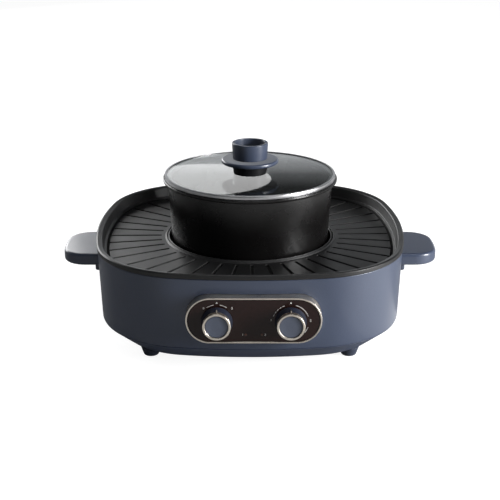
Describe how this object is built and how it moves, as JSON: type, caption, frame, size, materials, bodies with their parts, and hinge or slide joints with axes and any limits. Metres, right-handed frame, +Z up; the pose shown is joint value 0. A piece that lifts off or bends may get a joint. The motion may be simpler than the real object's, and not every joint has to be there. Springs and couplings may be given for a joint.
{
  "type": "hot pot grill combo",
  "caption": "Countertop electric grill pan with a lift-out hot pot in its middle, a glass lid with a cup-shaped knob, side handles and a front panel with dials.",
  "frame": {"origin": "on the table, under the middle of the overall box", "axes": "+Z up, -Y out of the control panel, +X to the right of someone who faces the panel"},
  "size_m": [0.422, 0.361, 0.2074],
  "materials": {
    "slate_paint": "smooth semi-gloss slate grey paint on a heat-proof moulding",
    "dark_slate_plastic": "fine-grained dark slate plastic",
    "soft_rubber": "matt black rubber",
    "grill_coating": "fine-grained black non-stick coating on cast aluminium",
    "pot_coating": "satin black non-stick coating on pressed aluminium",
    "champagne_metal": "finely brushed pale champagne metal",
    "brown_gloss": "very dark brown gloss panel",
    "navy_plastic": "satin dark navy plastic",
    "cap_grey": "satin grey-blue plastic",
    "bright_steel": "polished stainless steel",
    "clear_glass": "clear tempered glass",
    "black_plastic": "satin black heat-proof plastic",
    "dull_aluminium": "dull cast aluminium",
    "element_steel": "heat-darkened steel tube",
    "zinc_steel": "zinc-plated sheet steel",
    "pin_brass": "drawn brass",
    "lamp_lens": "unlit amber lens",
    "tan_phenolic": "brown phenolic moulding",
    "white_sleeve": "white silicone sleeve",
    "red_sleeve": "red silicone sleeve"
  },
  "bodies": {
    "base": {"base_cover": "dark_slate_plastic", "base_screw_back_left": "zinc_steel", "base_screw_back_right": "zinc_steel", "base_screw_front_left": "zinc_steel", "base_screw_front_right": "zinc_steel", "control_panel": "brown_gloss", "foot_back_left": "soft_rubber", "foot_back_right": "soft_rubber", "foot_front_left": "soft_rubber", "foot_front_right": "soft_rubber", "grill_heating_element": "element_steel", "grill_thermostat": "tan_phenolic", "grill_thermostat_nut": "zinc_steel", "handle_left": "slate_paint", "handle_right": "slate_paint", "handle_screw_back_left": "zinc_steel", "handle_screw_back_right": "zinc_steel", "handle_screw_front_left": "zinc_steel", "handle_screw_front_right": "zinc_steel", "heat_reflector": "zinc_steel", "heater_tray": "zinc_steel", "indicator_lamp_left": "lamp_lens", "indicator_lamp_right": "lamp_lens", "inlet_pin_earth": "pin_brass", "inlet_pin_live": "pin_brass", "inlet_pin_neutral": "pin_brass", "outer_housing": "slate_paint", "panel_base": "black_plastic", "panel_trim": "champagne_metal", "pot_heater_plate": "dull_aluminium", "pot_heating_element": "element_steel", "pot_thermostat": "tan_phenolic", "pot_thermostat_nut": "zinc_steel", "power_inlet": "black_plastic", "sensor_guide": "tan_phenolic", "sensor_spring": "bright_steel", "thermal_fuse": "white_sleeve", "wire_live": "red_sleeve", "wire_neutral": "white_sleeve", "wire_pot_element": "white_sleeve"},
    "grill_pan": {"grill_pan": "grill_coating"},
    "pot": {"pot": "pot_coating"},
    "lid": {"lid_glass": "clear_glass", "lid_knob_base": "black_plastic", "lid_knob_flange": "slate_paint", "lid_knob_grip": "slate_paint", "lid_rim": "bright_steel", "lid_screw": "bright_steel", "lid_washer": "soft_rubber"},
    "knob_left": {"knob_left_cap": "cap_grey", "knob_left_pointer": "champagne_metal", "knob_left_ring": "champagne_metal", "knob_left_shaft": "pin_brass", "knob_left_skirt": "navy_plastic"},
    "knob_right": {"knob_right_cap": "cap_grey", "knob_right_pointer": "champagne_metal", "knob_right_ring": "champagne_metal", "knob_right_shaft": "pin_brass", "knob_right_skirt": "navy_plastic"},
    "sensor": {"sensor_head": "dull_aluminium"}
  },
  "joints": [
    {"name": "grill_pan_lift", "type": "slide", "parent": "base", "child": "grill_pan", "axis": [0, 0, 1], "range_m": [0, 0.04]},
    {"name": "pot_lift", "type": "slide", "parent": "base", "child": "pot", "axis": [0, 0, 1], "range_m": [0, 0.1]},
    {"name": "lid_lift", "type": "slide", "parent": "pot", "child": "lid", "axis": [0, 0, 1], "range_m": [0, 0.08]},
    {"name": "knob_left_turn", "type": "hinge", "parent": "base", "child": "knob_left", "pos_m": [-0.0333, -0.16647, 0.0665], "axis": [0, -1, 0], "range_deg": [-45, 45]},
    {"name": "knob_right_turn", "type": "hinge", "parent": "base", "child": "knob_right", "pos_m": [0.0409, -0.16647, 0.0665], "axis": [0, -1, 0], "range_deg": [-90, 90]},
    {"name": "sensor_press", "type": "slide", "parent": "base", "child": "sensor", "axis": [0, 0, 1], "range_m": [-0.002, 0], "stiffness_N_per_m": 200, "springref_m": 0.002, "deforming": ["sensor_spring"]}
  ]
}
